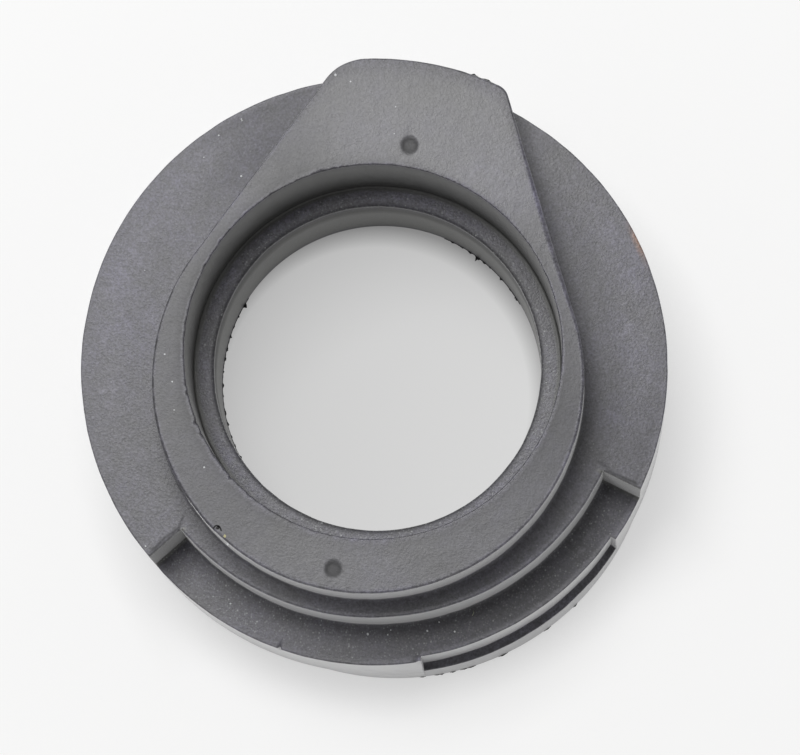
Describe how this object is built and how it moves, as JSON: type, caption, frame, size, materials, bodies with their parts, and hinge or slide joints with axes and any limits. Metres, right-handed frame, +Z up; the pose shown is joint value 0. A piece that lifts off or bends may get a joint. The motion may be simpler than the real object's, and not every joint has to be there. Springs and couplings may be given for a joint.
{
  "type": "rubber grommet",
  "caption": "Moulded rubber grommet: round disc with an eccentric collar, a stepped through bore, a wide locating tab and a recess with a notch in its rim.",
  "frame": {"origin": "on the bore's axis, at the base face", "axes": "+Z up along the bore to the collar's flat top, +Y towards the wide tab, +X to the right of the tab seen from above"},
  "size_m": [0.055, 0.0559, 0.022],
  "materials": {
    "rubber": "fine-grained matte moulded black rubber"
  },
  "bodies": {
    "root": {"grommet": "rubber"}
  },
  "joints": []
}
